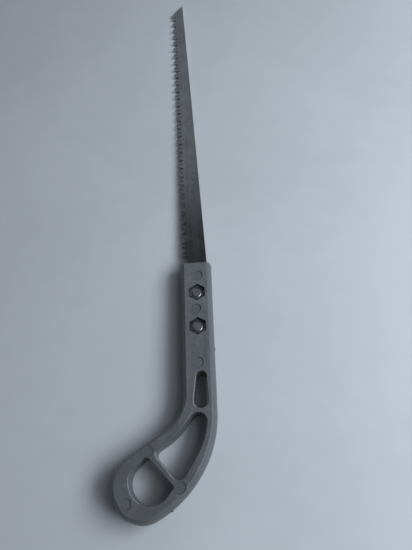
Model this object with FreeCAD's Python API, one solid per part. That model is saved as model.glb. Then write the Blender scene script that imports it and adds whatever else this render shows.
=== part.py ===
"""Keyhole saw: a tapered toothed blade bolted into a one-piece moulded handle with a hooked end.

Working frame of the design: X across the neck, +Y from the nose of the handle to the tip of the
blade, +Z up, the back of the handle on Z = 0. The finished pieces are moved together so that the
origin is the centre of the underside of the saw's box.
"""
import FreeCAD
import Part

import math
import os

Vec = FreeCAD.Vector

# ---------------------------------------------------------------- driving dimensions, mm
# Handle
handle_thickness = 14.0     # flat back to flat front
neck_face_width = 14.2      # flat face across the neck
side_crown = 2.85           # how far the crowned sides stand out at mid-thickness
neck_length = 70.0          # nose to where the layout of the hook begins
opening_edge_round = 0.5    # round on the rims of the openings
face_edge_round = 0.5       # round where the flat faces meet the crowned sides

# Blade
blade_reach = 254.0         # nose to tip
blade_thickness = 1.2
blade_width_nose = 16.3     # spine to tooth tips at the nose
blade_width_tip = 10.3      # spine to tooth tips where the tip bevel starts
tip_bevel_length = 12.8     # along the saw
spine_offset_nose = 7.2     # spine from the neck's centre line, at the nose
spine_offset_tip = -4.9     # and at the tip: the blade leans towards its teeth
tooth_pitch = 3.75
tooth_depth = 4.0
tooth_set = 0.6             # how far a tooth tip is bent out past the blade's face
gullet_flat = 0.35
tang_width = 13.7           # the part of the blade inside the handle, from the spine
tang_past_bolt = 8.5        # tang beyond the rear bolt's centre
tang_corner_round = 3.0

# Bolts and nuts, metric
bolt_diameter = 6.0
bolt_pitch = 1.0
bolt_head_diameter = 11.0
bolt_head_land = 0.3        # straight rim under the countersunk cone
thread_depth_share = 0.54   # of the pitch
nut_across_flats = 10.0
nut_thickness = 3.2
nut_chamfer_share = 0.93    # chamfer circle, of the width across flats
nut_chamfer_angle = 30.0    # degrees
nut_mouth = 0.3             # countersink of the nut's thread past the bolt's radius
front_bolt_from_nose = 23.0
rear_bolt_from_nose = 45.5
drive_depth = 2.0           # cross recess in the bolt head
drive_span = 5.6
drive_wing = 1.15
drive_span_taper = 0.4      # size at the bottom of the recess, of the size at its mouth
drive_wing_taper = 0.75

# Clearances
slot_clearance = 0.03       # each side of the blade in the handle's slot
slot_end_clearance = 0.4    # round the end and back of the tang
hole_clearance = 0.2        # radial, bolt in handle and tang
thread_clearance = 0.02     # radial, bolt in nut
pocket_clearance = 0.1      # each flat of the nut
head_clearance = 0.1        # bolt head in its countersink
head_below_face = 0.2       # bolt head under the back
nut_below_face = 1.6        # top of the nut under the front
bolt_past_nut = 0.5
tooth_past_nose = 0.4       # last tooth from the nose

# Marks left by moulding
pin_mark_diameter = 6.0
pin_mark_depth = 0.35
gate_scar_diameter = 2.0    # nick in the crest of the side, where the sprue was broken off
gate_scar_height = 2.4

# ---------------------------------------------------------------- derived values
neck_half = neck_face_width / 2
mid_plane = handle_thickness / 2
bolt_radius = bolt_diameter / 2
tang_length = rear_bolt_from_nose + tang_past_bolt
tang_left = spine_offset_nose - tang_width
bolt_x = (tang_left + spine_offset_nose) / 2
bolt_places = [(bolt_x, -front_bolt_from_nose), (bolt_x, -rear_bolt_from_nose)]
nut_seat = handle_thickness - nut_below_face - nut_thickness

# Openings beside the neck keep their walls to its two sides, and their end rounds are shares of
# their width.
slot_left = -neck_half + 5.75
slot_right = neck_half - 2.65
slot_round = 0.475 * (slot_right - slot_left)
slot_foot_left = -neck_half + 3.0
slot_foot_right = neck_half - 1.75
slot_foot_round = 0.44 * (slot_foot_right - slot_foot_left)
long_left = -neck_half + 3.3
long_right = neck_half - 2.2
long_round = 0.58 * (long_right - long_left)

# Layout of the hook: corners as (across, below the neck, round radius). Stretches that run with the
# neck's sides are placed from them.
OUTLINE = [
    (neck_half, 61.4, 59.5),
    (-31.0, 82.5, 12.8),
    (-42.0, 78.4, 8.7),
    (-53.2, 59.3, 15.3),
    (-neck_half, 30.4, 25.8),
]
TOP_SLOT = [
    (slot_right, 3.6, slot_round),
    (slot_left, 3.6, slot_round),
    (slot_foot_left, 24.8, slot_foot_round),
    (slot_foot_right, 24.8, slot_foot_round),
]
LONG_OPENING = [
    (long_left, 27.2, long_round),
    (long_right, 27.2, long_round),
    (neck_half - 4.6, 43.0, 38.0),
    (-11.6, 65.6, 4.6),
    (-26.9, 48.2, 3.0),
    (-neck_half - 6.8, 40.0, 34.0),
]
ROUND_OPENING = [
    (-30.3, 49.2, 3.0),
    (-14.7, 66.0, 1.5),
    (-25.0, 78.2, 12.0),
    (-40.0, 69.5, 12.0),
    (-40.0, 58.3, 8.0),
]
HOOK_PIN_MARKS = [(-29.4, 47.1), (-11.4, 66.2), (-40.7, 73.4)]
NECK_PIN_MARKS = [
    (1.4, -front_bolt_from_nose / 2),
    (-0.2, -(front_bolt_from_nose + rear_bolt_from_nose) / 2),
]
NECK_END_PIN_MARK = (0.3, -1.6)
GATE_SCAR = (-17.2, 77.9)


def below_neck(points):
    """Turns hook layout entries (across, below the neck, ...) into design coordinates."""
    return [(p[0], -neck_length - p[1]) + tuple(p[2:]) for p in points]


# ---------------------------------------------------------------- outlines
def unit(a, b):
    """Unit direction from point a to point b, in the plane."""
    length = math.hypot(b[0] - a[0], b[1] - a[1])
    return ((b[0] - a[0]) / length, (b[1] - a[1]) / length)


def rounded_outline(corners):
    """Closed outline through corners (x, y, radius), each rounded by a tangent arc.

    Gives a list of steps: ("line", start, end), ("arc", start, centre, turn) with the turn in
    degrees, or ("point", corner, before, turn) at a sharp corner.
    """
    steps = []
    trims = []
    count = len(corners)
    for i in range(count):
        here = corners[i]
        back = unit(here, corners[i - 1])
        ahead = unit(here, corners[(i + 1) % count])
        across = back[1] * ahead[0] - back[0] * ahead[1]
        along = -back[0] * ahead[0] - back[1] * ahead[1]
        turn = math.atan2(across, along)
        radius = here[2]
        trim = radius * abs(math.tan(turn / 2))
        start = (here[0] + back[0] * trim, here[1] + back[1] * trim)
        end = (here[0] + ahead[0] * trim, here[1] + ahead[1] * trim)
        side = math.copysign(1.0, turn)
        centre = (start[0] + back[1] * radius * side, start[1] - back[0] * radius * side)
        trims.append((start, end, centre, math.degrees(turn), radius, back))
    for i in range(count):
        start, end, centre, turn, radius, back = trims[i]
        if radius > 0:
            steps.append(("arc", start, centre, turn))
        else:
            steps.append(("point", start, (-back[0], -back[1]), turn))
        steps.append(("line", end, trims[(i + 1) % count][0]))
    return steps


def turned(point, centre, degrees):
    """Point turned about a centre, in the plane."""
    angle = math.radians(degrees)
    dx = point[0] - centre[0]
    dy = point[1] - centre[1]
    return (
        centre[0] + dx * math.cos(angle) - dy * math.sin(angle),
        centre[1] + dx * math.sin(angle) + dy * math.cos(angle),
    )


def outline_wire(steps, z):
    """Closed wire of an outline at height z."""
    edges = []
    for step in steps:
        if step[0] == "line":
            edges.append(Part.makeLine(Vec(*step[1], z), Vec(*step[2], z)))
        elif step[0] == "arc":
            middle = turned(step[1], step[2], step[3] / 2)
            end = turned(step[1], step[2], step[3])
            edges.append(Part.Arc(Vec(*step[1], z), Vec(*middle, z), Vec(*end, z)).toShape())
    return Part.Wire(Part.__sortEdges__(edges))


def side_profile(point, direction):
    """Section of the crowned side, standing on the outline where it runs in the given direction.

    One large arc makes the crown, with a small round at each flat face that runs smoothly into it.
    """
    rise = mid_plane - face_edge_round
    height = side_crown - face_edge_round
    crown_radius = (side_crown ** 2 + rise ** 2 - face_edge_round ** 2) / (2 * height)
    reach = crown_radius - face_edge_round
    out = (crown_radius - side_crown) / reach
    down = rise / reach
    outward = Vec(direction[1], -direction[0], 0)
    bisect = math.hypot(out, 1 + down)

    def at(offset, z):
        return Vec(*point, z) + outward * offset

    round_end = (face_edge_round * out, face_edge_round * (1 - down))
    round_middle = (face_edge_round * out / bisect, face_edge_round * (1 - (1 + down) / bisect))
    top = handle_thickness
    arcs = [
        Part.Arc(at(0, 0), at(*round_middle), at(*round_end)),
        Part.Arc(at(*round_end), at(side_crown, mid_plane), at(round_end[0], top - round_end[1])),
        Part.Arc(
            at(round_end[0], top - round_end[1]),
            at(round_middle[0], top - round_middle[1]),
            at(0, top),
        ),
    ]
    return Part.Wire([arc.toShape() for arc in arcs])


def crowned_blank(corners):
    """Slab with flat faces on an outline that runs anticlockwise, and crowned sides all round it."""
    steps = rounded_outline(corners)
    faces = [Part.Face(outline_wire(steps, 0)), Part.Face(outline_wire(steps, handle_thickness))]
    up = Vec(0, 0, 1)
    for step in steps:
        if step[0] == "line":
            start, end = step[1], step[2]
            run = Vec(end[0] - start[0], end[1] - start[1], 0)
            faces += side_profile(start, unit(start, end)).extrude(run).Faces
        elif step[0] == "arc":
            start, centre, turn = step[1], step[2], step[3]
            outward = unit(centre, start)
            side = math.copysign(1.0, turn)
            direction = (-outward[1] * side, outward[0] * side)
            faces += side_profile(start, direction).revolve(Vec(*centre, 0), up, turn).Faces
        else:
            corner, direction, turn = step[1], step[2], step[3]
            faces += side_profile(corner, direction).revolve(Vec(*corner, 0), up, turn).Faces
    shell = Part.makeShell(faces)
    shell.sewShape()
    solid = Part.makeSolid(shell)
    if solid.Volume < 0:
        solid.reverse()
    return solid


def edges_at(shape, z):
    """Edges of a shape that lie wholly at height z."""
    found = []
    for edge in shape.Edges:
        box = edge.BoundBox
        if abs(box.ZMin - z) < 1e-4 and abs(box.ZMax - z) < 1e-4:
            found.append(edge)
    return found


# ---------------------------------------------------------------- handle
def handle_outline():
    """Face outline of the handle, anticlockwise from the nose's left corner."""
    nose = -side_crown
    outline = [(neck_half, nose, 0.0), (-neck_half, nose, 0.0)]
    return outline + list(reversed(below_neck(OUTLINE)))


def opening_cutter(corners):
    """Prism that cuts one opening through the handle."""
    wire = outline_wire(rounded_outline(below_neck(corners)), 0)
    return Part.Face(wire).extrude(Vec(0, 0, handle_thickness))


def hexagon(across_flats, z0, z1, place):
    """Upright hexagonal prism with its points along Y."""
    radius = across_flats / math.sqrt(3)
    points = []
    for i in range(7):
        angle = math.radians(90 + 60 * i)
        points.append(Vec(place[0] + radius * math.cos(angle), place[1] + radius * math.sin(angle), z0))
    return Part.Face(Part.makePolygon(points)).extrude(Vec(0, 0, z1 - z0))


def upright_cylinder(radius, z0, z1, place):
    """Cylinder standing on Z at a place (x, y)."""
    return Part.makeCylinder(radius, z1 - z0, Vec(place[0], place[1], z0))


def head_cone(clearance):
    """Countersunk head from the back face upward, on the Z axis, grown by a clearance."""
    radius = bolt_head_diameter / 2 + clearance
    bottom = head_below_face if clearance == 0 else -1.0
    land_top = head_below_face + bolt_head_land
    shank = bolt_radius + clearance
    land = Part.makeCylinder(radius, land_top - bottom, Vec(0, 0, bottom))
    cone = Part.makeCone(radius, shank, radius - shank, Vec(0, 0, land_top))
    return land.fuse(cone)


def blade_slot():
    """Cutter for the slot: open at the nose and along the toothed side of the neck."""
    left = -neck_half - side_crown - 1.0
    right = spine_offset_nose + slot_end_clearance
    end = -tang_length - slot_end_clearance
    half = blade_thickness / 2 + slot_clearance
    return Part.makeBox(right - left, 1.0 - end, 2 * half, Vec(left, end, mid_plane - half))


def make_handle():
    """One-piece handle with its openings, slot, bolt holes, nut pockets and moulding marks."""
    body = crowned_blank(handle_outline())
    cutters = [opening_cutter(corners) for corners in (TOP_SLOT, LONG_OPENING, ROUND_OPENING)]
    body = body.cut(cutters)
    rims = [edge for edge in edges_at(body, 0) + edges_at(body, handle_thickness) if on_rim(edge, cutters)]
    body = body.makeFillet(opening_edge_round, rims)
    tools = [blade_slot()]
    for place in bolt_places:
        tools.append(upright_cylinder(bolt_radius + hole_clearance, -1, handle_thickness + 1, place))
        pocket = nut_across_flats + 2 * pocket_clearance
        tools.append(hexagon(pocket, nut_seat, handle_thickness + 1, place))
        cone = head_cone(head_clearance)
        cone.translate(Vec(*place, 0))
        tools.append(cone)
    marks = NECK_PIN_MARKS + below_neck(HOOK_PIN_MARKS + [NECK_END_PIN_MARK])
    for place in marks:
        floor = handle_thickness - pin_mark_depth
        tools.append(upright_cylinder(pin_mark_diameter / 2, floor, handle_thickness + 1, place))
    scar = below_neck([GATE_SCAR])[0]
    tools.append(upright_cylinder(gate_scar_diameter / 2, mid_plane, mid_plane + gate_scar_height, scar))
    return body.cut(tools)


def on_rim(edge, cutters):
    """True when an edge lies on the wall of one of the opening cutters."""
    point = edge.valueAt((edge.FirstParameter + edge.LastParameter) / 2)
    vertex = Part.Vertex(point)
    return any(vertex.distToShape(cutter)[0] < 1e-3 for cutter in cutters)


# ---------------------------------------------------------------- blade
def spine_x(y):
    """Spine of the blade at a distance y from the nose."""
    return spine_offset_nose + (spine_offset_tip - spine_offset_nose) * y / blade_reach


def tooth_frame():
    """Start of the toothed edge at the tip bevel, its direction to the nose, and its inward side."""
    bevel_y = blade_reach - tip_bevel_length
    top = (spine_x(bevel_y) - blade_width_tip, bevel_y)
    bottom = (spine_offset_nose - blade_width_nose, 0.0)
    along = unit(top, bottom)
    return top, along, (-along[1], along[0])


def along_edge(distance, inward):
    """Point on the toothed edge: distance from the tip bevel, and so far in from the tooth tips."""
    top, along, side = tooth_frame()
    x = top[0] + along[0] * distance + side[0] * inward
    y = top[1] + along[1] * distance + side[1] * inward
    return (x, y)


def one_tooth(start, up):
    """Set and filed tooth: a pyramid whose point is bent out over one face of the blade."""
    low_z = mid_plane - blade_thickness / 2
    high_z = mid_plane + blade_thickness / 2
    margin = gullet_flat / 2
    base = [
        along_edge(start + margin, tooth_depth),
        along_edge(start + tooth_pitch - margin, tooth_depth),
    ]
    corners = [Vec(*base[0], low_z), Vec(*base[1], low_z), Vec(*base[1], high_z), Vec(*base[0], high_z)]
    tip_z = high_z + tooth_set if up else low_z - tooth_set
    tip = Vec(*along_edge(start + tooth_pitch / 2, 0.0), tip_z)
    faces = [Part.Face(Part.makePolygon(corners + [corners[0]]))]
    for i in range(4):
        a = corners[i]
        b = corners[(i + 1) % 4]
        faces.append(Part.Face(Part.makePolygon([a, b, tip, a])))
    shell = Part.makeShell(faces)
    solid = Part.makeSolid(shell)
    if solid.Volume < 0:
        solid.reverse()
    return solid


def tooth_starts():
    """Distances from the tip bevel at which the teeth start, tip to nose."""
    top, along, _ = tooth_frame()
    first = tooth_pitch / 2
    available = (top[1] - tooth_past_nose) / -along[1] - first
    count = int(available / tooth_pitch)
    return [first + i * tooth_pitch for i in range(count)]


def make_blade():
    """Blade with its tip bevel, teeth, and tang with bolt holes."""
    half_tooth = along_edge(tooth_pitch / 2, tooth_depth)
    starts = tooth_starts()
    last = along_edge(starts[-1] + tooth_pitch, tooth_depth)
    points = [
        (spine_offset_tip, blade_reach),
        along_edge(0.0, 0.0),
        half_tooth,
        last,
        (tang_left, 0.0),
        (tang_left, -tang_length),
        (spine_offset_nose, -tang_length),
        (spine_offset_nose, 0.0),
    ]
    low_z = mid_plane - blade_thickness / 2
    wire = Part.makePolygon([Vec(*p, low_z) for p in points + [points[0]]])
    plate = Part.Face(wire).extrude(Vec(0, 0, blade_thickness))
    ends = []
    for edge in plate.Edges:
        box = edge.BoundBox
        if abs(box.YMax + tang_length) < 1e-4 and box.ZLength > blade_thickness / 2:
            ends.append(edge)
    plate = plate.makeFillet(tang_corner_round, ends)
    for place in bolt_places:
        plate = plate.cut(upright_cylinder(bolt_radius + hole_clearance, 0, handle_thickness, place))
    teeth = [one_tooth(start, i % 2 == 0) for i, start in enumerate(starts)]
    return plate.fuse(teeth)


# ---------------------------------------------------------------- bolts and nuts
def thread_rings(z0, z1, clearance):
    """Outline (radius, z) of V-shaped thread rings from z0 up to z1."""
    depth = thread_depth_share * bolt_pitch
    major = bolt_radius + clearance
    points = []
    count = int(round((z1 - z0) / bolt_pitch))
    for i in range(count):
        z = z0 + i * bolt_pitch
        points.append((major - depth, z))
        points.append((major, z + bolt_pitch / 2))
    points.append((major - depth, z0 + count * bolt_pitch))
    return points


def spun(points):
    """Solid of revolution about Z from an outline of (radius, z)."""
    vectors = [Vec(r, 0, z) for r, z in points]
    face = Part.Face(Part.makePolygon(vectors + [vectors[0]]))
    return face.revolve(Vec(0, 0, 0), Vec(0, 0, 1), 360)


def thread_start():
    """Height where the bolt's thread begins, so that its rings line up with the nut's."""
    return nut_seat - bolt_pitch


def cross_recess():
    """Tapered cross recess in the underside of the bolt head."""
    bottom = head_below_face
    mouth = (bottom, drive_span, drive_wing)
    floor = (bottom + drive_depth, drive_span * drive_span_taper, drive_wing * drive_wing_taper)
    cutters = []
    for turn in (0, 90):
        wires = []
        for z, span, wing in (mouth, floor):
            x, y = span / 2, wing / 2
            corners = [Vec(-x, -y, z), Vec(x, -y, z), Vec(x, y, z), Vec(-x, y, z), Vec(-x, -y, z)]
            wires.append(Part.makePolygon(corners))
        loft = Part.makeLoft(wires, True, True)
        loft.rotate(Vec(0, 0, 0), Vec(0, 0, 1), turn + 45)
        cutters.append(loft)
    return cutters


def make_bolt(place):
    """Countersunk bolt with a cross recess, its head in the back and its thread in the nut."""
    end = nut_seat + nut_thickness + bolt_past_nut
    start = thread_start()
    rings = thread_rings(start, start + math.floor((end - start) / bolt_pitch) * bolt_pitch, 0.0)
    core = rings[-1][0]
    shank = [
        (0, head_below_face),
        (bolt_radius, head_below_face),
        (bolt_radius, start - (bolt_radius - core)),
    ]
    body = spun(shank + rings + [(core, end), (0, end)])
    body = body.fuse(head_cone(0)).removeSplitter()
    body = body.cut(cross_recess())
    body.translate(Vec(*place, 0))
    return body


def make_nut(place):
    """Thin hexagon nut with chamfered corners and a countersunk thread."""
    top = nut_seat + nut_thickness
    body = hexagon(nut_across_flats, nut_seat, top, (0, 0))
    ring = nut_chamfer_share * nut_across_flats / 2
    corner = nut_across_flats / math.sqrt(3) + 0.01
    drop = (corner - ring) * math.tan(math.radians(nut_chamfer_angle))
    chamfered = spun([
        (0, nut_seat), (ring, nut_seat), (corner, nut_seat + drop),
        (corner, top - drop), (ring, top), (0, top),
    ])
    body = body.common(chamfered)
    rings = thread_rings(nut_seat - bolt_pitch, top + bolt_pitch, thread_clearance)
    bore = spun([(0, rings[0][1])] + rings + [(0, rings[-1][1])])
    mouth = bolt_radius + nut_mouth
    sinks = []
    for face_z, way in ((nut_seat, 1), (top, -1)):
        sinks.append(spun([(0, face_z - way), (mouth + 1, face_z - way), (0, face_z + way * mouth)]))
    body = body.cut([bore] + sinks)
    body.translate(Vec(*place, 0))
    return body


# ---------------------------------------------------------------- assembly
def build():
    """All pieces by node name, in the saw's own frame."""
    pieces = {"handle": make_handle(), "blade": make_blade()}
    for name, place in zip(("front", "rear"), bolt_places):
        pieces[name + "_bolt"] = make_bolt(place)
        pieces[name + "_nut"] = make_nut(place)
    box = FreeCAD.BoundBox()
    for shape in pieces.values():
        box.add(shape.optimalBoundingBox(False, False))
    shift = Vec(-(box.XMin + box.XMax) / 2, -(box.YMin + box.YMax) / 2, -box.ZMin)
    for shape in pieces.values():
        shape.translate(shift)
    print("origin moved by", shift)
    return pieces


os.makedirs("parts", exist_ok=True)
for node, shape in build().items():
    if not shape.isValid() or len(shape.Solids) != 1:
        raise RuntimeError(node + " is not one sound solid")
    shape.Solids[0].exportStep("parts/" + node + ".step")
    print(node, round(shape.Volume, 1))
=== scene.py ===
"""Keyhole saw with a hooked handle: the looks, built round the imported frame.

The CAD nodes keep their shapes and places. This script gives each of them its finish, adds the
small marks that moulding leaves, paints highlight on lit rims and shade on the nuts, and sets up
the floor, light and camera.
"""

import logging
import math
import random
from dataclasses import dataclass, field
from enum import Enum

import bmesh
import bpy
from mathutils import Euler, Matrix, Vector


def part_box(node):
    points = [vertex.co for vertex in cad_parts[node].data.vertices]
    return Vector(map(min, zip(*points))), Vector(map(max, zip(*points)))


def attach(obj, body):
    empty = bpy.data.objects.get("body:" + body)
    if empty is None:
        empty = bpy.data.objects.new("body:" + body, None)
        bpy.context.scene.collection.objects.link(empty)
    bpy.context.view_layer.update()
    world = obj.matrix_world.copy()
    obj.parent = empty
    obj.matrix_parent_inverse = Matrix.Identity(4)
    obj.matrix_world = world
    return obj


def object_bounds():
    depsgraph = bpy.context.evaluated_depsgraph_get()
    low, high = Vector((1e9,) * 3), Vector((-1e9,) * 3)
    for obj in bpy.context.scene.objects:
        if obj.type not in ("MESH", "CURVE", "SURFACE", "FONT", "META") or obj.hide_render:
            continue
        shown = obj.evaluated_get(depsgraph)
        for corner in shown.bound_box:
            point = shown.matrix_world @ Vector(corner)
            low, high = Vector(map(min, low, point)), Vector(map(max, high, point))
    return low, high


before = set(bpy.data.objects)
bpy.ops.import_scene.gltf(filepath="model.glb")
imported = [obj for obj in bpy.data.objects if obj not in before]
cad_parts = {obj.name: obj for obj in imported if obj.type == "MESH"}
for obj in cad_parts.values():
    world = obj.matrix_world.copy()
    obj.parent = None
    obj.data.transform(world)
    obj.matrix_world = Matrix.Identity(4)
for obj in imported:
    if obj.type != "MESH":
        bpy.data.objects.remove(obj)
CAD_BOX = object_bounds()

MM = 0.001
BODY = "root"
RIDGE_CREST = 0.2
log = logging.getLogger("saw")

Point = tuple[float, float, float]
Colour = tuple[float, float, float, float]


def grey(value: float, warmth: float = 0.0) -> Colour:
    """Neutral colour of a linear value, a little warmer or cooler.

    Args:
        value: Linear brightness.
        warmth: Part of the value added to red and taken from blue.

    Returns:
        Red, green, blue and alpha.
    """
    return (value * (1 + warmth), value, value * (1 - warmth), 1.0)


# ---------------------------------------------------------------- node helpers
class SocketKind(Enum):
    """Kinds of socket that a shader group passes in or out."""

    VECTOR = "NodeSocketVector"
    VALUE = "NodeSocketFloat"
    COLOUR = "NodeSocketColor"


class Graph:
    """Adds and links nodes in one node tree."""

    def __init__(self, tree: bpy.types.NodeTree) -> None:
        """Works on an existing tree.

        Args:
            tree: Node tree of a material, group or world.
        """
        self.tree = tree

    def add(self, kind: str, inputs: dict[str | int, object] | None = None,
            **settings: object) -> bpy.types.Node:
        """Adds a node, sets its properties, and fills or links its inputs.

        Args:
            kind: Blender's name for the node type.
            inputs: Input name or number to a plain value, or to a socket to link from.
            settings: Properties of the node itself.

        Returns:
            The new node.
        """
        node = self.tree.nodes.new(kind)
        node.location = (180 * (len(self.tree.nodes) % 12), -220 * (len(self.tree.nodes) // 12))
        for name, value in settings.items():
            setattr(node, name, value)
        for name, value in (inputs or {}).items():
            if isinstance(value, bpy.types.NodeSocket):
                self.tree.links.new(value, node.inputs[name])
            else:
                node.inputs[name].default_value = value
        return node

    def math(self, operation: str, a: object, b: object = 0.0) -> bpy.types.NodeSocket:
        """Adds a Math node.

        Args:
            operation: Blender's name for the operation.
            a: First value or socket.
            b: Second value or socket.

        Returns:
            The result's socket.
        """
        return self.add("ShaderNodeMath", {0: a, 1: b}, operation=operation).outputs[0]

    def remap(self, value: bpy.types.NodeSocket, low: float, high: float, to_low: object = 0.0,
              to_high: object = 1.0) -> bpy.types.NodeSocket:
        """Maps a value from one range to another, smoothly and held at the ends.

        Args:
            value: Socket to read.
            low: Value that gives to_low.
            high: Value that gives to_high.
            to_low: Lowest result, plain or a socket.
            to_high: Highest result, plain or a socket.

        Returns:
            The result's socket.
        """
        node = self.add("ShaderNodeMapRange", interpolation_type="SMOOTHSTEP")
        for name, item in (("Value", value), ("From Min", low), ("From Max", high), ("To Min", to_low),
                           ("To Max", to_high)):
            if isinstance(item, bpy.types.NodeSocket):
                self.tree.links.new(item, node.inputs[name])
            else:
                node.inputs[name].default_value = item
        return node.outputs["Result"]

    def noise(self, vector: bpy.types.NodeSocket, scale: object, detail: float = 2.0,
              roughness: float = 0.5) -> bpy.types.NodeSocket:
        """Adds a noise texture.

        Args:
            vector: Coordinates.
            scale: Blobs per metre, plain or a socket.
            detail: Octaves.
            roughness: Strength of the finer octaves.

        Returns:
            The noise value's socket.
        """
        inputs = {"Vector": vector, "Scale": scale, "Detail": detail, "Roughness": roughness}
        return self.add("ShaderNodeTexNoise", inputs).outputs["Fac"]

    def stretch(self, vector: bpy.types.NodeSocket, scale: Point, turn: float) -> bpy.types.NodeSocket:
        """Scales coordinates along the axes, after turning them about Z.

        Args:
            vector: Coordinates.
            scale: Factor along X, Y and Z.
            turn: Angle in radians.

        Returns:
            The new coordinates' socket.
        """
        inputs = {"Vector": vector, "Angle": turn}
        turned = self.add("ShaderNodeVectorRotate", inputs, rotation_type="Z_AXIS")
        return self.add("ShaderNodeMapping", {"Vector": turned.outputs[0], "Scale": scale}).outputs[0]

    def mix(self, factor: bpy.types.NodeSocket, a: object, b: object) -> bpy.types.NodeSocket:
        """Mixes two colours.

        Args:
            factor: Share of the second colour.
            a: First colour or socket.
            b: Second colour or socket.

        Returns:
            The mixed colour's socket.
        """
        node = self.add("ShaderNodeMix", data_type="RGBA")
        for index, item in ((0, factor), (6, a), (7, b)):
            if isinstance(item, bpy.types.NodeSocket):
                self.tree.links.new(item, node.inputs[index])
            else:
                node.inputs[index].default_value = item
        return node.outputs[2]


class Effect:
    """Shader node groups that several finishes share. Each is built once."""

    def __init__(self) -> None:
        """Builds all groups."""
        self.tone = self._tone()
        self.grain = self._grain()
        self.scratches = self._scratches()
        self.rolled = self._rolled()
        self.worn_and_lit_edges = self._worn_and_lit_edges()

    @staticmethod
    def _group(name: str, inputs: dict[str, tuple[SocketKind, object]],
               outputs: dict[str, SocketKind]) -> tuple[bpy.types.NodeTree, Graph, dict, bpy.types.Node]:
        """Starts a shader node group.

        Args:
            name: Name of the group.
            inputs: Input names with their kinds and default values.
            outputs: Output names with their kinds.

        Returns:
            The tree, a graph on it, its input sockets by name, and its output node.
        """
        tree = bpy.data.node_groups.new(name, "ShaderNodeTree")
        for label, (kind, default) in inputs.items():
            socket = tree.interface.new_socket(name=label, in_out="INPUT", socket_type=kind.value)
            if default is not None:
                socket.default_value = default
        for label, kind in outputs.items():
            tree.interface.new_socket(name=label, in_out="OUTPUT", socket_type=kind.value)
        graph = Graph(tree)
        entry = graph.add("NodeGroupInput")
        leave = graph.add("NodeGroupOutput")
        return tree, graph, entry.outputs, leave

    def _tone(self) -> bpy.types.NodeTree:
        """Cloudy change between two colours, as in moulded or rolled stock.

        Returns:
            The group's tree.
        """
        tree, graph, given, leave = self._group(
            "uneven_tone",
            {"Vector": (SocketKind.VECTOR, None), "Scale": (SocketKind.VALUE, 40.0),
             "Dark": (SocketKind.COLOUR, grey(0.1)), "Light": (SocketKind.COLOUR, grey(0.2))},
            {"Colour": SocketKind.COLOUR, "Mask": SocketKind.VALUE})
        broad = graph.noise(given["Vector"], given["Scale"], detail=3.0, roughness=0.55)
        fine_scale = graph.math("MULTIPLY", given["Scale"], 9.0)
        fine = graph.noise(given["Vector"], fine_scale)
        both = graph.math("ADD", graph.math("MULTIPLY", broad, 0.75), graph.math("MULTIPLY", fine, 0.25))
        mask = graph.remap(both, low=0.34, high=0.66)
        tree.links.new(graph.mix(mask, given["Dark"], given["Light"]), leave.inputs["Colour"])
        tree.links.new(mask, leave.inputs["Mask"])
        return tree

    def _grain(self) -> bpy.types.NodeTree:
        """Fine moulded grain over slow waviness, as a height.

        Returns:
            The group's tree.
        """
        tree, graph, given, leave = self._group(
            "moulded_grain",
            {"Vector": (SocketKind.VECTOR, None), "Grain Scale": (SocketKind.VALUE, 3200.0),
             "Wave Scale": (SocketKind.VALUE, 70.0), "Wave Share": (SocketKind.VALUE, 0.5)},
            {"Height": SocketKind.VALUE})
        grain = graph.noise(given["Vector"], given["Grain Scale"], detail=1.0)
        wave = graph.noise(given["Vector"], given["Wave Scale"], detail=1.0, roughness=0.4)
        height = graph.math("ADD", grain, graph.math("MULTIPLY", wave, given["Wave Share"]))
        tree.links.new(height, leave.inputs["Height"])
        return tree

    def _scratches(self) -> bpy.types.NodeTree:
        """Thin random scratches in three directions, as a mask.

        Returns:
            The group's tree.
        """
        tree, graph, given, leave = self._group(
            "handling_scratches",
            {"Vector": (SocketKind.VECTOR, None), "Scale": (SocketKind.VALUE, 60.0),
             "Amount": (SocketKind.VALUE, 0.5)},
            {"Mask": SocketKind.VALUE})
        total = None
        turns_and_slides = ((0.35, 3.1), (1.25, 7.7), (2.3, 12.9))
        lengthwise = (1.0, 0.05, 1.0)
        for turn, slide in turns_and_slides:
            shift = (slide, slide, 0.0)
            moved = graph.add("ShaderNodeVectorMath", {0: given["Vector"], 1: shift}).outputs[0]
            line = graph.noise(graph.stretch(moved, lengthwise, turn), given["Scale"], detail=0.0)
            thin = graph.remap(line, low=0.71, high=0.74)
            patch = graph.remap(graph.noise(moved, scale=35.0, detail=1.0), low=0.5, high=0.62)
            mask = graph.math("MULTIPLY", thin, patch)
            total = mask if total is None else graph.math("MAXIMUM", total, mask)
        tree.links.new(graph.math("MULTIPLY", total, given["Amount"]), leave.inputs["Mask"])
        return tree

    def _rolled(self) -> bpy.types.NodeTree:
        """Fine lines along the length of rolled and brushed strip.

        Returns:
            The group's tree.
        """
        tree, graph, given, leave = self._group(
            "rolling_lines",
            {"Vector": (SocketKind.VECTOR, None), "Scale": (SocketKind.VALUE, 2600.0),
             "Stretch": (SocketKind.VALUE, 0.012)},
            {"Height": SocketKind.VALUE, "Streak": SocketKind.VALUE})
        parts = graph.add("ShaderNodeSeparateXYZ", {0: given["Vector"]}).outputs
        slow = graph.math("MULTIPLY", parts[1], given["Stretch"])
        lined = graph.add("ShaderNodeCombineXYZ", {0: parts[0], 1: slow, 2: parts[2]}).outputs[0]
        fine = graph.noise(lined, given["Scale"], roughness=0.6)
        streak_scale = graph.math("MULTIPLY", given["Scale"], 0.18)
        streak = graph.noise(lined, streak_scale)
        tree.links.new(fine, leave.inputs["Height"])
        tree.links.new(graph.remap(streak, low=0.35, high=0.65), leave.inputs["Streak"])
        return tree

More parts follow.
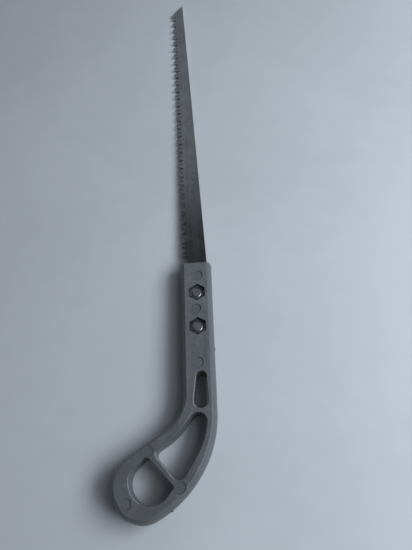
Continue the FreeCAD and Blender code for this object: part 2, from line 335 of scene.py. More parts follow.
    def _worn_and_lit_edges(self) -> bpy.types.NodeTree:
        """Mask of outward edges, broken up by noise, for edge wear that is partly painted highlight.

        Returns:
            The group's tree.
        """
        tree, graph, given, leave = self._group(
            "worn_and_lit_edges",
            {"Vector": (SocketKind.VECTOR, None), "Scale": (SocketKind.VALUE, 300.0)},
            {"Mask": SocketKind.VALUE})
        point = graph.add("ShaderNodeNewGeometry").outputs["Pointiness"]
        sharp = graph.remap(point, low=0.515, high=0.56)
        rough = graph.noise(given["Vector"], given["Scale"], detail=3.0, roughness=0.6)
        broken = graph.remap(rough, low=0.3, high=0.6)
        tree.links.new(graph.math("MULTIPLY", sharp, broken), leave.inputs["Mask"])
        return tree


class Finish:
    """Base of all finishes: starts a material and gives access to the shared effects."""

    name: str = "finish"

    def start(self, metallic: float, base: Colour) -> tuple[bpy.types.Material, Graph, bpy.types.Node,
                                                            bpy.types.NodeSocket]:
        """Starts a material with one Principled shader and object coordinates.

        Args:
            metallic: Metallic value of the whole surface.
            base: Colour shown in the viewport.

        Returns:
            The material, a graph on it, its shader and the coordinates' socket.
        """
        material = bpy.data.materials.new(self.name)
        material.use_nodes = True
        material.diffuse_color = base
        tree = material.node_tree
        tree.nodes.clear()
        graph = Graph(tree)
        shader = graph.add("ShaderNodeBsdfPrincipled", {"Metallic": metallic})
        graph.add("ShaderNodeOutputMaterial", {"Surface": shader.outputs[0]})
        place = graph.add("ShaderNodeTexCoord").outputs["Object"]
        return material, graph, shader, place

    @staticmethod
    def use(graph: Graph, tree: bpy.types.NodeTree, inputs: dict[str | int, object]) -> bpy.types.Node:
        """Places a shared effect in a material.

        Args:
            graph: The material's graph.
            tree: The effect's group.
            inputs: Values and sockets for the group's inputs.

        Returns:
            The group's node.
        """
        node = graph.add("ShaderNodeGroup", node_tree=tree)
        for label, value in inputs.items():
            if isinstance(value, bpy.types.NodeSocket):
                graph.tree.links.new(value, node.inputs[label])
            else:
                node.inputs[label].default_value = value
        return node

    @staticmethod
    def clouded(graph: Graph, mask: bpy.types.NodeSocket, roughness: float,
                change: tuple[float, float]) -> bpy.types.NodeSocket:
        """Roughness that follows the clouds of a tone.

        Args:
            graph: The material's graph.
            mask: The tone's mask.
            roughness: Roughness of the finish.
            change: What is added to it where the tone is dark, and where it is light.

        Returns:
            The roughness socket.
        """
        return graph.remap(mask, 0.0, 1.0, roughness + change[0], roughness + change[1])

    @staticmethod
    def bump(graph: Graph, shader: bpy.types.Node,
             layers: list[tuple[bpy.types.NodeSocket, float, float]]) -> None:
        """Feeds height layers through Bump nodes into the shader's normal.

        Args:
            graph: The material's graph.
            shader: The Principled shader.
            layers: Height socket, strength and depth in metres of each layer, coarse to fine.
        """
        normal = None
        for height, strength, depth in layers:
            inputs = {"Height": height, "Strength": strength, "Distance": depth}
            if normal is not None:
                inputs["Normal"] = normal
            normal = graph.add("ShaderNodeBump", inputs).outputs["Normal"]
        graph.tree.links.new(normal, shader.inputs["Normal"])


@dataclass(frozen=True)
class MouldedPlastic(Finish):
    """Mid grey moulded plastic, satin-matt, with flow clouds, fine grain, handling marks, and paler sharp
    edges that are partly wear and partly painted highlight.
    """

    effects: Effect
    name: str = "handle_plastic"
    dark: float = 0.118
    light: float = 0.142
    warmth: float = -0.015
    scuff_and_sheen_grey: float = 0.20
    pale_edge_share: float = 0.6
    roughness: float = 0.38
    rough_change: tuple[float, float] = (-0.05, 0.06)
    rubbed_gloss: float = 0.08
    refraction: float = 1.49
    grain_depth: float = 0.03 * MM

    def build(self) -> bpy.types.Material:
        """Makes the material.

        Returns:
            The material.
        """
        material, graph, shader, place = self.start(0.0, grey(self.light, self.warmth))
        shader.inputs["IOR"].default_value = self.refraction
        tone = self.use(graph, self.effects.tone, {
            "Vector": place, "Scale": 45.0,
            "Dark": grey(self.dark, self.warmth), "Light": grey(self.light, self.warmth)})
        marks = self.use(graph, self.effects.scratches, {"Vector": place, "Scale": 900.0, "Amount": 0.55})
        worn_and_lit = self.use(graph, self.effects.worn_and_lit_edges, {"Vector": place, "Scale": 420.0})
        # Paler sharp edges: partly wear, partly a painted highlight for the light on the creases.
        edges = graph.math("MULTIPLY", worn_and_lit.outputs["Mask"], self.pale_edge_share)
        scuffs_and_edge_sheen = graph.math("MAXIMUM", marks.outputs["Mask"], edges)
        colour = graph.mix(scuffs_and_edge_sheen, tone.outputs["Colour"], grey(self.scuff_and_sheen_grey, self.warmth))
        graph.tree.links.new(colour, shader.inputs["Base Color"])
        rough = self.clouded(graph, tone.outputs["Mask"], self.roughness, self.rough_change)
        gloss = graph.math("MULTIPLY", scuffs_and_edge_sheen, self.rubbed_gloss)
        graph.tree.links.new(graph.math("SUBTRACT", rough, gloss), shader.inputs["Roughness"])
        grain = self.use(graph, self.effects.grain, {
            "Vector": place, "Grain Scale": 3400.0, "Wave Scale": 90.0, "Wave Share": 1.2})
        self.bump(graph, shader, [(grain.outputs["Height"], 0.35, self.grain_depth)])
        return material


@dataclass(frozen=True)
class TornPlastic(Finish):
    """Paler plastic, where a sprue was torn off; a still paler instance serves as painted highlight on
    rims that face the light.
    """

    effects: Effect
    name: str = "torn_plastic"
    dark: float = 0.13
    light: float = 0.19
    roughness: float = 0.62
    rough_change: tuple[float, float] = (-0.06, 0.06)
    grain_depth: float = 0.05 * MM

    def build(self) -> bpy.types.Material:
        """Makes the material.

        Returns:
            The material.
        """
        material, graph, shader, place = self.start(0.0, grey(self.light))
        tone = self.use(graph, self.effects.tone, {
            "Vector": place, "Scale": 500.0, "Dark": grey(self.dark), "Light": grey(self.light)})
        graph.tree.links.new(tone.outputs["Colour"], shader.inputs["Base Color"])
        rough = self.clouded(graph, tone.outputs["Mask"], self.roughness, self.rough_change)
        graph.tree.links.new(rough, shader.inputs["Roughness"])
        grain = self.use(graph, self.effects.grain, {
            "Vector": place, "Grain Scale": 5200.0, "Wave Scale": 900.0, "Wave Share": 1.5})
        self.bump(graph, shader, [(grain.outputs["Height"], 0.6, self.grain_depth)])
        return material


@dataclass(frozen=True)
class RolledSteel(Finish):
    """Cold-rolled saw steel: fine lengthwise lines, faint oil clouds and handling scratches."""

    effects: Effect
    name: str = "blade_steel"
    dark: float = 0.36
    light: float = 0.46
    stain: float = 0.25
    stain_share: float = 0.5
    streak: float = 0.62
    streak_share: float = 0.22
    scratch: float = 0.72
    scratch_share: float = 0.5
    roughness: float = 0.22
    rough_change: tuple[float, float] = (0.05, -0.05)
    streak_gloss: float = 0.06
    stain_dulling: float = 0.12
    line_depth: float = 0.006 * MM

    def build(self) -> bpy.types.Material:
        """Makes the material.

        Returns:
            The material.
        """
        material, graph, shader, place = self.start(1.0, grey(self.light))
        tone = self.use(graph, self.effects.tone, {
            "Vector": place, "Scale": 55.0, "Dark": grey(self.dark, 0.01), "Light": grey(self.light)})
        lines = self.use(graph, self.effects.rolled, {"Vector": place, "Scale": 2600.0, "Stretch": 0.012})
        marks = self.use(graph, self.effects.scratches, {"Vector": place, "Scale": 1100.0, "Amount": 0.7})
        spots = graph.noise(place, scale=210.0, detail=4.0, roughness=0.65)
        spots = graph.remap(spots, low=0.60, high=0.74)
        spotted = graph.math("MULTIPLY", spots, self.stain_share)
        stained = graph.mix(spotted, tone.outputs["Colour"], grey(self.stain, 0.06))
        streaks = graph.math("MULTIPLY", lines.outputs["Streak"], self.streak_share)
        streaked = graph.mix(streaks, stained, grey(self.streak))
        scratches = graph.math("MULTIPLY", marks.outputs["Mask"], self.scratch_share)
        colour = graph.mix(scratches, streaked, grey(self.scratch))
        graph.tree.links.new(colour, shader.inputs["Base Color"])
        rough = self.clouded(graph, tone.outputs["Mask"], self.roughness, self.rough_change)
        gloss = graph.math("MULTIPLY", lines.outputs["Streak"], -self.streak_gloss)
        dulling = graph.math("MULTIPLY", spots, self.stain_dulling)
        lined = graph.math("ADD", rough, gloss)
        graph.tree.links.new(graph.math("ADD", lined, dulling), shader.inputs["Roughness"])
        self.bump(graph, shader, [(lines.outputs["Height"], 0.25, self.line_depth)])
        return material


@dataclass(frozen=True)
class ZincPlate(Finish):
    """Zinc plate on small steel fasteners, with tool rings, plain out to a radius and darkened beyond it
    as painted shade.
    """

    effects: Effect
    axis: Point = (0.0, 0.0, 0.0)
    name: str = "plated_fastener"
    dark: float = 0.36
    light: float = 0.66
    painted_shade: float = 0.19
    painted_shade_clouds: float = 0.7
    cloud_share: float = 0.5
    scratch: float = 0.85
    unshaded_radius: float = 20 * MM
    shade_fade: float = 0.3 * MM
    ring_pitch: float = 0.28 * MM
    ring_depth: float = 0.014 * MM
    grain_depth: float = 0.012 * MM
    roughness: float = 0.32
    rough_change: tuple[float, float] = (0.10, -0.05)

    def build(self) -> bpy.types.Material:
        """Makes the material.

        Returns:
            The material.
        """
        material, graph, shader, place = self.start(1.0, grey(self.light))
        tone = self.use(graph, self.effects.tone, {
            "Vector": place, "Scale": 320.0,
            "Dark": grey(self.dark, 0.03), "Light": grey(self.light, -0.01)})
        marks = self.use(graph, self.effects.scratches, {"Vector": place, "Scale": 2600.0, "Amount": 0.6})
        rough = self.clouded(graph, tone.outputs["Mask"], self.roughness, self.rough_change)
        graph.tree.links.new(rough, shader.inputs["Roughness"])
        centred = graph.add("ShaderNodeVectorMath", {0: place, 1: self.axis}, operation="SUBTRACT")
        level = (1.0, 1.0, 0.0)
        flat = graph.add("ShaderNodeVectorMath", {0: centred.outputs[0], 1: level}, operation="MULTIPLY")
        length = graph.add("ShaderNodeVectorMath", {0: flat.outputs[0]}, operation="LENGTH")
        radius = length.outputs["Value"]
        # Darker beyond the radius: painted shade of the pocket that the nut sits in.
        shaded_share = graph.remap(radius, self.unshaded_radius, self.unshaded_radius + self.shade_fade)
        clouds = graph.math("MULTIPLY", tone.outputs["Mask"], self.cloud_share)
        painted_shade_colour = graph.mix(clouds, grey(self.painted_shade, 0.02), grey(self.painted_shade * self.painted_shade_clouds))
        plated = graph.mix(shaded_share, tone.outputs["Colour"], painted_shade_colour)
        colour = graph.mix(marks.outputs["Mask"], plated, grey(self.scratch))
        graph.tree.links.new(colour, shader.inputs["Base Color"])
        rings = graph.math("SINE", graph.math("MULTIPLY", radius, 2 * math.pi / self.ring_pitch))
        grain = self.use(graph, self.effects.grain, {
            "Vector": place, "Grain Scale": 5200.0, "Wave Scale": 700.0, "Wave Share": 0.8})
        self.bump(graph, shader, [(rings, 0.5, self.ring_depth),
                                  (grain.outputs["Height"], 0.3, self.grain_depth)])
        return material


@dataclass(frozen=True)
class TableTop(Finish):
    """Pale, even table top."""

    effects: Effect
    name: str = "table_top"
    dark: float = 0.66
    light: float = 0.70
    roughness: float = 0.6

    def build(self) -> bpy.types.Material:
        """Makes the material.

        Returns:
            The material.
        """
        material, graph, shader, place = self.start(0.0, grey(self.light))
        tone = self.use(graph, self.effects.tone, {
            "Vector": place, "Scale": 9.0, "Dark": grey(self.dark), "Light": grey(self.light)})
        graph.tree.links.new(tone.outputs["Colour"], shader.inputs["Base Color"])
        shader.inputs["Roughness"].default_value = self.roughness
        return material


# ---------------------------------------------------------------- piece helpers
def dress(name: str, material: bpy.types.Material) -> None:
    """Gives a CAD node its finish.

    Args:
        name: Name of the node.
        material: Its finish.
    """
    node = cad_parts[name]
    node.data.materials.clear()
    node.data.materials.append(material)
    log.info("%s: finish %s", name, material.name)


def new_piece(name: str, mesh: bmesh.types.BMesh, material: bpy.types.Material) -> None:
    """Turns a bmesh into a piece of the saw that rides on its body.

    Args:
        name: Name of the piece.
        mesh: Its mesh, in the frame. It is freed.
        material: Its finish.
    """
    bmesh.ops.recalc_face_normals(mesh, faces=mesh.faces)
    data = bpy.data.meshes.new(name)
    mesh.to_mesh(data)
    mesh.free()
    for polygon in data.polygons:
        polygon.use_smooth = True
    data.materials.append(material)
    piece = bpy.data.objects.new(name, data)
    bpy.context.scene.collection.objects.link(piece)
    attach(piece, BODY)
    log.info("%s: %d faces, finish %s", name, len(data.polygons), material.name)


def skin(mesh: bmesh.types.BMesh, rows: list[list[bmesh.types.BMVert]], closed: bool) -> None:
    """Joins rings of points into a tube, and caps its ends when it is open.

    Args:
        mesh: Mesh that holds the points.
        rows: Rings of points, in order along the tube.
        closed: True when the last ring joins the first.
    """
    count = len(rows[0])
    pairs = list(zip(rows, rows[1:]))
    if closed:
        pairs.append((rows[-1], rows[0]))
    for a, b in pairs:
        for i in range(count):
            j = (i + 1) % count
            mesh.faces.new((a[i], a[j], b[j], b[i]))
    if not closed:
        mesh.faces.new(rows[0])
        mesh.faces.new(rows[-1])


def ridge(path: list[Vector], outward: list[Vector], heights: list[float], closed: bool, root: float,
          half_width: float) -> bmesh.types.BMesh:
    """Low pointed ridge that stands out from a wall along a path.

    Args:
        path: Points on the wall.
        outward: Direction out of the wall at each point.
        heights: How far the ridge stands out at each point.
        closed: True when the path is a loop.
        root: How deep the ridge's foot is sunk in the wall.
        half_width: Half the width of the foot, along Z.

    Returns:
        The ridge's mesh.
    """
    mesh = bmesh.new()
    up = Vector((0, 0, half_width))
    rows = []
    for point, out, height in zip(path, outward, heights):
        foot = point - out * root
        crest = point + out * height
        rows.append([mesh.verts.new(foot + up), mesh.verts.new(crest + up * RIDGE_CREST),
                     mesh.verts.new(crest - up * RIDGE_CREST), mesh.verts.new(foot - up)])
    skin(mesh, rows, closed)
    return mesh


def spaced(path: list[Vector], step: float, closed: bool) -> list[Vector]:
    """Points at even steps along a path.

    Args:
        path: The path's points.
        step: Distance between the new points.
        closed: True when the path is a loop.

    Returns:
        The new points.
    """
    points = path + [path[0]] if closed else path
    lengths = [0.0]
    for a, b in zip(points, points[1:]):
        lengths.append(lengths[-1] + (b - a).length)
    count = max(3, round(lengths[-1] / step))
    result = []
    index = 0
    for k in range(count if closed else count + 1):
        target = lengths[-1] * k / count
        while index < len(lengths) - 2 and lengths[index + 1] < target:
            index += 1
        span = max(lengths[index + 1] - lengths[index], 1e-9)
        result.append(points[index].lerp(points[index + 1], (target - lengths[index]) / span))
    return result


# ---------------------------------------------------------------- the saw
@dataclass
class Layout:
    """Reference lines of the saw in the frame, worked out from the CAD boxes."""

    side_crown: float = 2.85 * MM
    neck_half: float = 7.1 * MM

    def __post_init__(self) -> None:
        """Reads the boxes of the handle and the blade."""
        self.handle_low, self.handle_high = (Vector(c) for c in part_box("handle"))
        self.blade_low, self.blade_high = (Vector(c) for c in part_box("blade"))
        self.neck_x = self.handle_high.x - self.side_crown - self.neck_half
        self.nose_y = self.handle_high.y
        self.face_z = self.handle_high.z
        self.middle_z = (self.handle_low.z + self.handle_high.z) / 2

    def at(self, across: float, along: float, z: float) -> Vector:
        """Point from distances across the neck and along the saw from the nose, in mm, at a height.

        Args:
            across: From the neck's centre line, towards the spine.
            along: From the nose, towards the tip.
            z: Height in metres.

        Returns:
            The point in the frame.
        """
        return Vector((self.neck_x + across * MM, self.nose_y + along * MM, z))


@dataclass
class Handle:
    """One-piece handle, with its mould line, painted highlight on the openings' lit rims, ejector rims and
    gate stub.

    Attributes:
        burr_along: Place of the burr along the saw from the nose, in mm.
        marks: Each ejector mark's place across and along, in mm, and where its rim starts, in degrees.
        gate: Place of the gate stub across and along, in mm.
        rim_flash_turn: Way, towards the light, that a wall faces to carry the painted highlight.
        rim_flash_facing: How nearly it has to face that way, 1 being exactly.
        section_above_middle: Height of the section that gives the outlines, just clear of the slot.
    """

    layout: Layout
    plastic: bpy.types.Material
    torn: bpy.types.Material
    highlight_paint: bpy.types.Material
    flash_height: float = 0.07 * MM
    flash_root: float = 0.12 * MM
    flash_half_width: float = 0.14 * MM
    flash_step: float = 0.8 * MM
    flash_orders: int = 4
    flash_waves: int = 5
    flash_unevenness: float = 0.35
    flash_lowest: float = 0.01 * MM
    lit_rim_highlight_height: float = 0.14 * MM
    lit_rim_highlight_root: float = 0.35 * MM
    lit_rim_highlight_half_width: float = 0.14 * MM
    lit_rim_highlight_drop: float = 0.16 * MM
    lit_rim_highlight_facing: float = 0.78
    lit_rim_highlight_turn: float = math.radians(25)
    lit_rim_highlight_fade: float = 0.4
    slot_past_tang: float = 0.6 * MM
    slot_wall: float = 7.7 * MM
    section_above_middle: float = 0.9 * MM
    smallest_loop: float = 40 * MM
    burr_along: float = -58.8
    burr_height: float = 0.55 * MM
    burr_length: float = 0.9 * MM
    rim_radius: float = 3.05 * MM
    rim_height: float = 0.30 * MM
    rim_width: float = 0.34 * MM
    rim_turn: float = 300.0
    rim_crest: float = 0.4
    rim_lowest: float = 0.002 * MM
    rim_sunk: float = 0.03 * MM
    rim_steps: int = 40
    marks: list[tuple[float, float, float]] = field(default_factory=lambda: [
        (1.4, -11.5, 200.0), (-0.2, -34.25, 150.0), (0.3, -68.4, 170.0),
        (-29.4, -117.1, 20.0), (-11.4, -136.2, 120.0), (-40.7, -143.4, 165.0)])
    gate: tuple[float, float] = (-16.7, -147.2)
    gate_radius: float = 0.75 * MM
    gate_above_middle: float = 0.5 * MM
    gate_tears: tuple[float, float] = (-0.12, 0.10)
    gate_flatness: float = 0.7

    def section_loops(self) -> list[list[Vector]]:
        """Outlines of the handle just above mid-thickness, clear of the blade's slot.

        Returns:
            Closed loops of points, moved to mid-thickness.
        """
        mesh = bmesh.new()
        mesh.from_mesh(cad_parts["handle"].data)
        bmesh.ops.remove_doubles(mesh, verts=mesh.verts, dist=1e-7)
        height = self.layout.middle_z + self.section_above_middle
        everything = mesh.verts[:] + mesh.edges[:] + mesh.faces[:]
        cut = bmesh.ops.bisect_plane(mesh, geom=everything, plane_co=(0, 0, height), plane_no=(0, 0, 1))
        edges = [e for e in cut["geom_cut"] if isinstance(e, bmesh.types.BMEdge)]
        near: dict[bmesh.types.BMVert, list[bmesh.types.BMVert]] = {}
        for edge in edges:
            a, b = edge.verts
            near.setdefault(a, []).append(b)
            near.setdefault(b, []).append(a)
        loops = []
        seen: set[bmesh.types.BMVert] = set()
        for start in near:
            if start in seen:
                continue
            loop = [start]
            seen.add(start)
            while True:
                ahead = [v for v in near[loop[-1]] if v not in seen]
                if not ahead:
                    break
                loop.append(ahead[0])
                seen.add(ahead[0])
            points = [Vector((v.co.x, v.co.y, self.layout.middle_z)) for v in loop]
            length = sum((b - a).length for a, b in zip(points, points[1:] + points[:1]))
            if length > self.smallest_loop:
                loops.append(points)
        mesh.free()
        return sorted(loops, key=len, reverse=True)

    def over_slot(self, point: Vector) -> bool:
        """True where the blade's slot opens through the side, so that there is no wall.

        Args:
            point: Point on the outline.

        Returns:
            Whether the slot is open there.
        """
        slot_end = self.layout.blade_low.y - self.slot_past_tang
        return point.y > slot_end and point.x < self.layout.neck_x + self.slot_wall

    def wall(self, loop: list[Vector], hole: bool) -> tuple[list[Vector], list[Vector]]:
        """Even points along a wall, with the direction out of the plastic at each.

        Args:
            loop: Outline of the wall.
            hole: True for the wall of an opening.

        Returns:
            The points and the directions.
        """
        points = spaced(loop, self.flash_step, True)
        area = sum(a.x * b.y - b.x * a.y for a, b in zip(points, points[1:] + points[:1]))
        if area < 0:
            points.reverse()
        side = -1.0 if hole else 1.0
        outward = []
        for i in range(len(points)):
            along = (points[(i + 1) % len(points)] - points[i - 1]).normalized()
            outward.append(Vector((along.y, -along.x, 0)) * side)
        return points, outward

    def lit_rim_highlight(self, loops: list[list[Vector]]) -> None:
        """Adds a thin ridge on each opening's rim, along the longest wall that faces the spine, where the
        light is, coloured pale as a painted highlight.

        Args:
            loops: Outlines of the openings at mid-thickness.
        """
        lift = Vector((0, 0, self.layout.face_z - self.lit_rim_highlight_drop - self.layout.middle_z))
        towards = Vector((math.cos(self.lit_rim_highlight_turn), math.sin(self.lit_rim_highlight_turn), 0))
        for number, loop in enumerate(loops):
            points, outward = self.wall(loop, True)
            count = len(points)
            facing = [out.dot(towards) > self.lit_rim_highlight_facing for out in outward]
            runs = []
            for start in (i for i in range(count) if facing[i] and not facing[i - 1]):
                turn = [(start + k) % count for k in range(count)]
                runs.append(turn[:next(k for k, i in enumerate(turn) if not facing[i])])
            run = max(runs, key=len)
            angles = [math.pi * (k + 0.5) / len(run) for k in range(len(run))]
            heights = [self.lit_rim_highlight_height * math.sin(angle) ** self.lit_rim_highlight_fade
                       for angle in angles]
            mesh = ridge([points[i] + lift for i in run], [outward[i] for i in run], heights, False,
                         self.lit_rim_highlight_root, self.lit_rim_highlight_half_width)
            # Pale finish here is a painted highlight, on walls facing the light only.
            new_piece(f"lit_rim_highlight_{number}", mesh, self.highlight_paint)

    def mould_line(self, loops: list[list[Vector]]) -> None:
        """Adds the thin flash where the two halves of the mould met, with one burr on it.

        Args:
            loops: Outlines of the handle at mid-thickness, the outer one first.
        """
        rng = random.Random(7)
        burr = self.layout.at(0, self.burr_along, 0).y
        for number, loop in enumerate(loops):
            points, outward = self.wall(loop, number > 0)
            phase = [rng.uniform(0, 6.28) for _ in range(self.flash_orders)]
            heights = []
            for i, point in enumerate(points):
                turn = 2 * math.pi * i / len(points)
                wave = sum(math.sin(turn * (k + 1) * self.flash_waves + phase[k]) / (k + 1)
                           for k in range(self.flash_orders))
                height = self.flash_height * (1 + self.flash_unevenness * wave)
                if number == 0 and point.x > self.layout.neck_x:
                    height += self.burr_height * math.exp(-((point.y - burr) / self.burr_length) ** 2)
                heights.append(max(height, self.flash_lowest))
            self._add_runs(f"mould_line_{number}", points, outward, heights)

    def _add_runs(self, name: str, points: list[Vector], outward: list[Vector],
                  heights: list[float]) -> None:
        """Adds a loop of flash, broken where the blade's slot opens.

        Args:
            name: Name of the piece.
            points: Points of the loop.
            outward: Directions out of the wall.
            heights: Heights of the flash.
        """
        open_at = [i for i, point in enumerate(points) if self.over_slot(point)]
        if not open_at:
            mesh = ridge(points, outward, heights, True, self.flash_root, self.flash_half_width)
        else:
            count = len(points)
            start = next(i for i in open_at if not self.over_slot(points[(i + 1) % count])) + 1
            order = [(start + k) % count for k in range(count)]
            keep = [i for i in order if not self.over_slot(points[i])]
            mesh = ridge([points[i] for i in keep], [outward[i] for i in keep],
                         [heights[i] for i in keep], False, self.flash_root, self.flash_half_width)
        new_piece(name, mesh, self.plastic)

    def ejector_rims(self) -> None:
        """Adds the thin raised rim round most of each ejector mark."""
        for number, (across, along, start) in enumerate(self.marks):
            centre = self.layout.at(across, along, self.layout.face_z)
            mesh = bmesh.new()
            foot = Vector((0, 0, -self.rim_sunk))
            crest = self.rim_radius + self.rim_width * self.rim_crest
            outer = self.rim_radius + self.rim_width
            rows = []
            for k in range(self.rim_steps + 1):
                share = k / self.rim_steps
                angle = math.radians(start + self.rim_turn * share)
                out = Vector((math.cos(angle), math.sin(angle), 0))
                top = Vector((0, 0, self.rim_height * math.sin(math.pi * share) ** 0.5 + self.rim_lowest))
                rows.append([mesh.verts.new(centre + out * self.rim_radius + foot),
                             mesh.verts.new(centre + out * crest + top),
                             mesh.verts.new(centre + out * outer + foot)])
            skin(mesh, rows, False)
            new_piece(f"ejector_rim_{number}", mesh, self.plastic)

    def gate_stub(self) -> None:
        """Adds the torn stub in the nick where the sprue was broken off."""
        rng = random.Random(11)
        mesh = bmesh.new()
        bmesh.ops.create_icosphere(mesh, subdivisions=3, radius=self.gate_radius)
        centre = self.layout.at(*self.gate, self.layout.middle_z + self.gate_above_middle)
        for vert in mesh.verts:
            vert.co *= 1 + rng.uniform(*self.gate_tears)
            vert.co.z *= self.gate_flatness
            vert.co += centre
        new_piece("gate_stub", mesh, self.torn)

    def build(self) -> None:
        """Dresses the handle and adds its marks."""
        dress("handle", self.plastic)
        loops = self.section_loops()
        self.mould_line(loops)
        self.lit_rim_highlight(loops[1:])
        self.ejector_rims()
        self.gate_stub()


@dataclass
class Blade:
    """Tapered toothed blade."""

    steel: bpy.types.Material

    def build(self) -> None:
        """Gives the CAD blade its finish."""
        dress("blade", self.steel)


@dataclass
class Fastener:
    """One bolt with its nut."""

    place: str
    effects: Effect
    unshaded_mouth: float = 3.0 * MM

    def build(self) -> None:
        """Gives bolt and nut their plating, with tool rings centred on the bolt.

        The nut is darkened outside its mouth as painted shade of its pocket; inside the mouth it keeps the
        plain plating.
        """
        low, high = (Vector(c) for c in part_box(self.place + "_bolt"))
        middle = (low + high) / 2
        axis = (middle.x, middle.y, 0.0)
        bright = ZincPlate(self.effects, axis, self.place + "_bolt_plate")
        painted_shade = ZincPlate(self.effects, axis, self.place + "_nut_shaded_plate", unshaded_radius=self.unshaded_mouth)
        dress(self.place + "_bolt", bright.build())
        dress(self.place + "_nut", painted_shade.build())


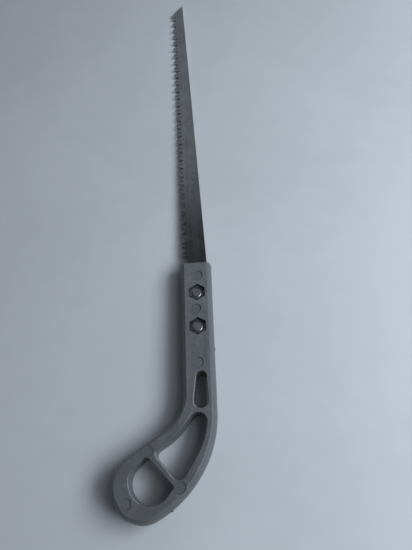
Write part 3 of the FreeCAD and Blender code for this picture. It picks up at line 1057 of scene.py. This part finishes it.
# ---------------------------------------------------------------- studio
@dataclass
class Studio:
    """Floor, light and camera round the saw, which lies with its nose and blade tip on the table.

    Attributes:
        tip_bevel: Length of the blade's bevelled tip, behind which the teeth touch the table.
        bow: How much the table curves up under the blade, 1 being straight.
        bow_fade: Distance over which the curve fades out under the handle.
        saw_zone: Half length of the table's finely divided part.
        window: Elevation in degrees, spread in degrees and power in watts of the main light.
        upper: The same for the weaker light above it.
        sky_change: Range over which the room turns from its high to its low value.
        backdrop: Brightness of the plain backdrop.
    """

    layout: Layout
    table: bpy.types.Material
    floor_size: float = 6.0
    gap: float = 0.02 * MM
    tip_bevel: float = 12.8 * MM
    bow: float = 1.8
    bow_fade: float = 40 * MM
    saw_zone: float = 0.4
    row_step: float = 4 * MM
    tint: Point = (0.90, 1.0, 1.13)
    distance: float = 0.85
    window: tuple[float, float, float] = (40.5, 23.0, 4.85)
    upper: tuple[float, float, float] = (53.0, 36.0, 1.65)
    lights_turn: float = -13.0
    lights_width: float = 0.8
    sky_low: float = 0.235
    sky_high: float = 0.044
    sky_change: tuple[float, float] = (0.495, 0.61)
    backdrop: float = 0.62
    camera_place: Point = (40.92 * MM, -198.70 * MM, 302.4 * MM)
    camera_turn: Point = (25.27, 3.73, -2.08)
    lens: float = 32.73
    nearest: float = 0.01

    def table_height(self, along: float) -> float:
        """Height of the table top under the saw, falling away from the tip to the hook.

        Args:
            along: Distance from the nose towards the tip, in metres.

        Returns:
            Height above the handle's back.
        """
        rise = self.layout.blade_low.z - CAD_BOX[0][2]
        reach = self.layout.blade_high.y - self.tip_bevel - self.layout.nose_y
        share = along / reach
        if share >= 1.0:
            return rise
        if share >= 0.0:
            return rise * (1 - (1 - share) ** self.bow)
        return rise * share * (1 + (self.bow - 1) * math.exp(along / self.bow_fade))

    def floor(self) -> None:
        """Adds the table top, touching the handle's back at the nose and the teeth near the tip."""
        half = self.floor_size / 2
        fine = round(2 * self.saw_zone / self.row_step)
        rows = [-half] + [self.row_step * k - self.saw_zone for k in range(fine + 1)] + [half]
        columns = (-half, 0.0, half)
        mesh = bmesh.new()
        bottom = CAD_BOX[0][2] - self.gap
        verts = [[mesh.verts.new((x, self.layout.nose_y + y, bottom + self.table_height(y)))
                  for x in columns] for y in rows]
        for a, b in zip(verts, verts[1:]):
            for i in range(len(columns) - 1):
                mesh.faces.new((a[i], a[i + 1], b[i + 1], b[i])).smooth = True
        data = bpy.data.meshes.new("table_top")
        mesh.to_mesh(data)
        mesh.free()
        data.materials.append(self.table)
        table = bpy.data.objects.new("table_top", data)
        bpy.context.scene.collection.objects.link(table)

    def soft_light(self, name: str, elevation: float, spread: float, power: float) -> None:
        """Adds a large soft light on the spine's side, facing the saw.

        Args:
            name: Name of the light.
            elevation: Angle of its middle above the table, in degrees.
            spread: Angle it fills from bottom to top, in degrees.
            power: Its power in watts.
        """
        light = bpy.data.lights.new(name, "AREA")
        light.shape = "RECTANGLE"
        light.size = self.lights_width
        light.size_y = 2 * self.distance * math.tan(math.radians(spread / 2))
        light.energy = power
        light.color = self.tint
        lamp = bpy.data.objects.new(name, light)
        bpy.context.scene.collection.objects.link(lamp)
        rise = math.radians(elevation)
        turn = math.radians(self.lights_turn)
        way = Vector((math.cos(rise) * math.cos(turn), math.cos(rise) * math.sin(turn), math.sin(rise)))
        lamp.location = way * self.distance
        lamp.rotation_euler = way.to_track_quat("Z", "Y").to_euler()

    def sky(self) -> None:
        """Sets the room's dim light: darker overhead, paler low down, and a plain backdrop."""
        world = bpy.data.worlds.new("room")
        world.use_nodes = True
        world.node_tree.nodes.clear()
        graph = Graph(world.node_tree)
        towards = graph.add("ShaderNodeTexCoord").outputs["Generated"]
        parts = graph.add("ShaderNodeSeparateXYZ", {0: towards}).outputs
        north = graph.remap(parts[1], *self.sky_change)
        level = graph.remap(north, 0.0, 1.0, self.sky_high, self.sky_low)
        seen = graph.add("ShaderNodeLightPath").outputs["Is Camera Ray"]
        shown = graph.math("MULTIPLY", seen, self.backdrop)
        hidden = graph.math("MULTIPLY", graph.math("SUBTRACT", 1.0, seen), level)
        strength = graph.math("ADD", shown, hidden)
        inputs = {"Color": (*self.tint, 1.0), "Strength": strength}
        background = graph.add("ShaderNodeBackground", inputs)
        graph.add("ShaderNodeOutputWorld", {"Surface": background.outputs[0]})
        bpy.context.scene.world = world

    def camera(self) -> None:
        """Adds the camera, above the handle and looking along the saw."""
        data = bpy.data.cameras.new("camera")
        data.lens = self.lens
        data.clip_start = self.nearest
        camera = bpy.data.objects.new("camera", data)
        bpy.context.scene.collection.objects.link(camera)
        camera.location = self.camera_place
        camera.rotation_euler = Euler([math.radians(a) for a in self.camera_turn], "XYZ")
        bpy.context.scene.camera = camera

    def build(self) -> None:
        """Sets everything up."""
        self.floor()
        self.soft_light("window", *self.window)
        self.soft_light("window_above", *self.upper)
        self.sky()
        self.camera()
        bpy.context.scene.view_settings.view_transform = "Standard"
        log.info("studio: table, window, room light, camera")


def main() -> None:
    """Builds the finishes, then each part of the saw, then the studio."""
    logging.basicConfig(level=logging.INFO, format="%(name)s: %(message)s")
    effects = Effect()
    layout = Layout()
    # Still paler plastic for the rims facing the light: a painted highlight.
    highlight_plastic = TornPlastic(effects, name="painted_highlight_plastic", dark=0.26, light=0.42, roughness=0.45)
    Handle(layout, MouldedPlastic(effects).build(), TornPlastic(effects).build(), highlight_plastic.build()).build()
    Blade(RolledSteel(effects).build()).build()
    for place in ("front", "rear"):
        Fastener(place, effects).build()
    Studio(layout, TableTop(effects).build()).build()


if __name__ == "__main__":
    main()
